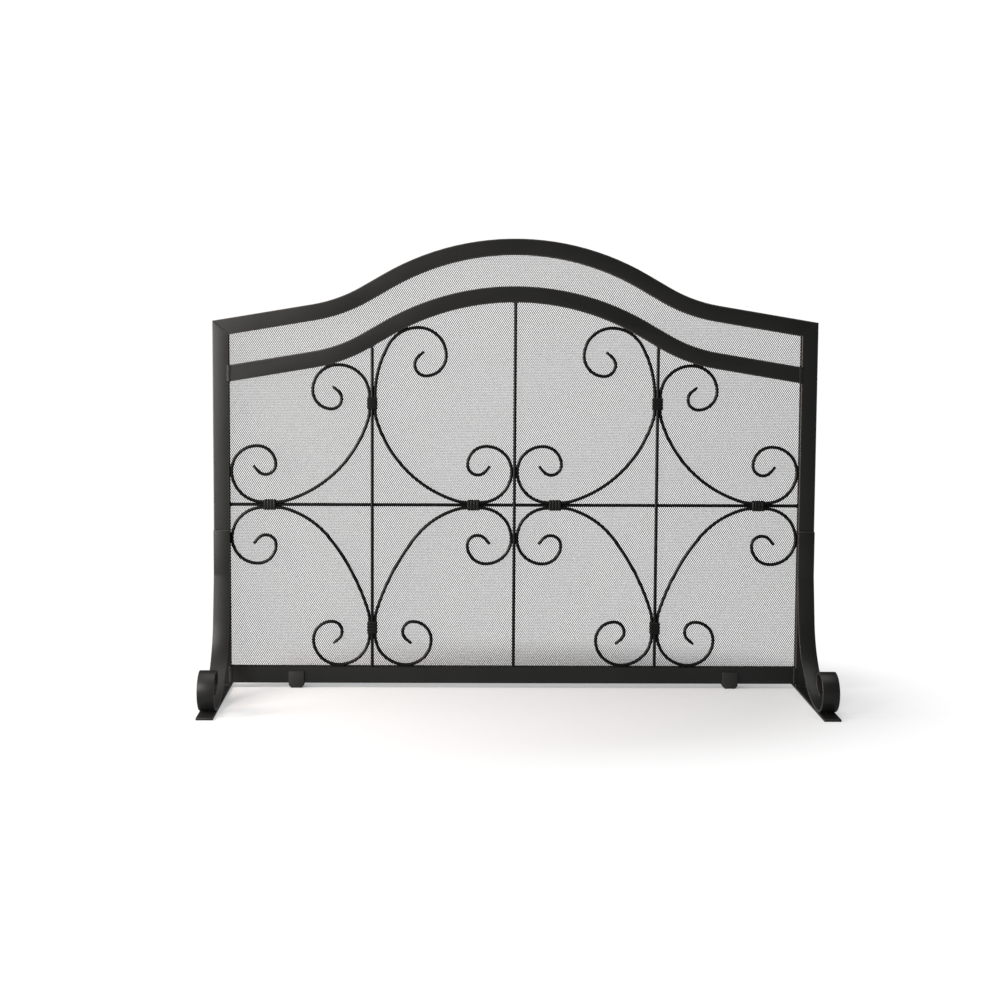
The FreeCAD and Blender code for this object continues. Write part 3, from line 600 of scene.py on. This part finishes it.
screw.data = cut_screw

graph, row, row_inputs = geometry_graph("screw_row", {
    "Places": "NodeSocketObject", "Screw": "NodeSocketObject", "Seed": "NodeSocketInt"})
spots = graph.node("GeometryNodeObjectInfo", {}, {"Object": row["Places"]}, "Geometry")
model = graph.node("GeometryNodeObjectInfo", {}, {"Object": row["Screw"]}, "Geometry")
turn = graph.node("FunctionNodeRandomValue", {"data_type": "FLOAT"},
                  {2: 0.0, 3: math.pi / 2, "Seed": row["Seed"]}, 1)
driven = graph.node("ShaderNodeCombineXYZ", {}, {"Y": turn})
set_in = graph.node("GeometryNodeInstanceOnPoints", {},
                    {"Points": spots, "Instance": model, "Rotation": driven})
close_graph(graph, set_in, screw_black)
places = plain_object("places", screw_places)
screw_row = bmesh.new()
screw_row.from_mesh(grown(graph.tree, row_inputs, {"Places": places, "Screw": screw, "Seed": 4}))
for lender in (places, screw, cutter):
    bpy.data.objects.remove(lender)
finished("strip_screw_row", screw_row, [screw_black], "screws", "strip_screws")

# --- the legs, feet and glides -----------------------------------------------------------
# Each leg is one flat bar, welded to its post at the top and rolled at the bottom, where it
# stands on a flat foot bar. Two moulded clips under the bottom rail keep it off the hearth.

BAR_EDGE = 0.0007
CLIP_EDGE = 0.0008
foot_coat = powder_coat("foot_coat", (0.010, 0.0105, 0.0105), (0.024, 0.0245, 0.0235), 0.38)
for side in ("left", "right"):
    for node in (f"{side}_leg_strap", f"{side}_foot_bar"):
        shape = body_copy(node)
        round_edges(shape, [edge for edge in shape.edges if sharp(edge)], BAR_EDGE, 3)
        # The rounds of strap and foot bar take the paler coat, a painted edge highlight.
        finished(f"{node}_steel", shape, [foot_coat, edge_highlight_coat], "feet", node)

nylon, graph, surface = material_graph("glide_nylon")
place = graph.node("ShaderNodeTexCoord", {}, {}, "Object")
grain = graph.node("ShaderNodeTexNoise", {}, {"Vector": place, "Scale": 1800, "Detail": 1}, "Fac")
tone = graph.node("ShaderNodeMix", {"data_type": "RGBA"},
                  {0: grain, 6: (0.022, 0.023, 0.023, 1), 7: (0.032, 0.033, 0.033, 1)}, 2)
graph.feed(surface.inputs["Base Color"], tone)
graph.feed(surface.inputs["Roughness"], grain * 0.15 + 0.45)
bump = graph.node("ShaderNodeBump", {}, {"Strength": 0.6, "Distance": 0.00003, "Height": grain})
graph.feed(surface.inputs["Normal"], bump)
for side in ("left", "right"):
    node = f"{side}_rail_glide"
    shape = body_copy(node)
    round_edges(shape, [edge for edge in shape.edges if sharp(edge)], CLIP_EDGE, 3)
    for face in shape.faces:
        face.material_index = 0
    finished(f"{node}_clip", shape, [nylon], "glides", node)

# --- the welds ---------------------------------------------------------------------------
# Short beads where a volute touches its neighbour, and where rods, rails and straps end.
# They are laid by hand in small overlapping drops, and coated with the rest.

weld_graph, weld, weld_inputs = geometry_graph("weld_bead", {
    "Start": "NodeSocketVector", "End": "NodeSocketVector", "Drops": "NodeSocketInt",
    "Size": "NodeSocketVector", "Seed": "NodeSocketInt"})
graph = weld_graph
spine = graph.node("GeometryNodeMeshLine", {"mode": "END_POINTS"},
                   {"Count": weld["Drops"], "Start Location": weld["Start"],
                    "Offset": weld["End"]})
drop = graph.node("GeometryNodeMeshUVSphere", {}, {"Segments": 10, "Rings": 6, "Radius": 1.0})
along = graph.node("ShaderNodeVectorMath", {"operation": "SUBTRACT"},
                   {0: weld["End"], 1: weld["Start"]})
turn = graph.node("FunctionNodeAlignRotationToVector", {"axis": "Z"}, {"Vector": along})
uneven = graph.node("FunctionNodeRandomValue", {"data_type": "FLOAT"},
                    {2: 0.82, 3: 1.12, "Seed": weld["Seed"]}, 1)
sized = graph.node("ShaderNodeVectorMath", {"operation": "SCALE"},
                   {0: weld["Size"], "Scale": uneven})
bead = graph.node("GeometryNodeInstanceOnPoints", {},
                  {"Points": spine, "Instance": drop, "Rotation": turn, "Scale": sized})
close_graph(graph, bead, rod_coat)

DROP_PITCH = 0.0016
bead_seeds = count(1)


def lay_bead(beads, start, end, in_plane, through):
    """One bead. Its drops reach `in_plane` to each side of the line from start to end in the
    screen's own plane, and `through` to the front and the back of it."""
    length = (Vector(end) - Vector(start)).length
    beads.from_mesh(grown(weld_graph.tree, weld_inputs, {
        "Start": tuple(start), "End": tuple(end),
        "Drops": max(2, round(length / DROP_PITCH) + 1),
        "Size": (in_plane, through, DROP_PITCH * 1.25), "Seed": next(bead_seeds)}))


def surface_of(node):
    """The skin of a CAD node, for finding places on it."""
    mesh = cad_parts[node].data
    return BVHTree.FromPolygons([corner.co for corner in mesh.vertices],
                                [face.vertices for face in mesh.polygons])


surfaces = {node: surface_of(node) for node in
            ("bottom_rail", "lower_arch_rail", "left_post", "right_post", "centre_rod")}


def contact(node, other):
    """The place on `other` nearest to `node`, the way out of it, and the way along it."""
    finds = (surfaces[other].find_nearest(corner.co)
             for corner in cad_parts[node].data.vertices)
    point, normal, _, _ = min(finds, key=lambda find: find[3])
    return point, normal, normal.cross(Vector((0, 1, 0))).normalized()


def tack(beads, node, other, reach, in_plane, through):
    """A short bead in the nip between a round rod and what it touches."""
    point, out, along = contact(node, other)
    middle = Vector((point.x, frame_middle, point.z)) + out * in_plane * 0.45
    lay_bead(beads, middle - along * reach, middle + along * reach, in_plane, through)


rod_welds = bmesh.new()
for node in SCROLLS:
    side = node.split("_")[0]
    if "upper" in node:
        tack(rod_welds, node, "lower_arch_rail", 0.008, 0.0024, 0.0028)
    else:
        tack(rod_welds, node, "bottom_rail", 0.0095, 0.0032, 0.0031)
    upright = f"{side}_post" if "outer" in node else "centre_rod"
    tack(rod_welds, node, upright, 0.007, 0.0022, 0.0027)
for node in ("left_rod", "centre_rod", "right_rod"):
    low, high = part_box(node)
    middle = (low + high) / 2
    for rail, way in (("bottom_rail", -1), ("lower_arch_rail", 1)):
        ends = [surfaces[rail].ray_cast(Vector((x, middle.y, middle.z)), Vector((0, 0, way)))[0]
                for x in (low.x + 0.0004, high.x - 0.0004)]
        lay_bead(rod_welds, *ends, 0.0016, 0.0037)
low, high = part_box("cross_rod")
middle = (low + high) / 2
for end in (low.x + 0.0003, high.x - 0.0003):
    lay_bead(rod_welds, (end, middle.y, middle.z - 0.0026),
             (end, middle.y, middle.z + 0.0026), 0.0014, 0.0037)
finished("rod_welds", rod_welds, [rod_coat], "scrolls")


def heights_at(node, x):
    """Lowest and highest points of a node where it ends at x."""
    found = [corner.co.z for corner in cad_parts[node].data.vertices
             if abs(corner.co.x - x) < 1e-5]
    return min(found), max(found)


BEAD_INSET = 0.0025
STRAP_INSET = 0.003
frame_welds = bmesh.new()
tube_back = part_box("left_post")[1].y
for side, name in ((-1, "left"), (1, "right")):
    inner, outer = side * post_inner, side * post_outer
    for face in (tube_front, tube_back):
        for rail in ("lower_arch_rail", "bottom_rail"):
            bottom, top = heights_at(rail, inner)
            lay_bead(frame_welds, (inner, face, bottom + 0.0015), (inner, face, top - 0.0015),
                     0.0036, 0.0008)
        mitre_low = heights_at("top_arch_rail", inner)[0]
        mitre_high = heights_at("top_arch_rail", outer)[1]
        inset = side * BEAD_INSET
        lay_bead(frame_welds, (inner + inset, face, mitre_low + BEAD_INSET),
                 (outer - inset, face, mitre_high - BEAD_INSET), 0.0017, 0.0003)
        foot_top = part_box(f"{name}_foot_bar")[1].z
        lay_bead(frame_welds, (inner + inset, face, foot_top), (outer - inset, face, foot_top),
                 0.0016, 0.0016)
    lay_bead(frame_welds, (inner, tube_front + 0.002, foot_top),
             (inner, tube_back - 0.002, foot_top), 0.0016, 0.0016)
    strap_low, strap_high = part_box(f"{name}_leg_strap")
    lay_bead(frame_welds, (strap_low.x + STRAP_INSET, tube_front - 0.0016, strap_high.z),
             (strap_high.x - STRAP_INSET, tube_front - 0.0016, strap_high.z), 0.0012, 0.0016)
    resting = [corner.co.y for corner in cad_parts[f"{name}_leg_strap"].data.vertices
               if corner.co.z < strap_low.z + 1e-5]
    for nip in (min(resting) - 0.006, max(resting) + 0.006):
        lay_bead(frame_welds, (strap_low.x + STRAP_INSET, nip, foot_top),
                 (strap_high.x - STRAP_INSET, nip, foot_top), 0.0012, 0.0034)
finished("frame_welds", frame_welds, [frame_coat], "frame")

# --- the finish --------------------------------------------------------------------------
# The box of what is seen is worked out, as the CAD model's box was at the start.

low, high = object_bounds()
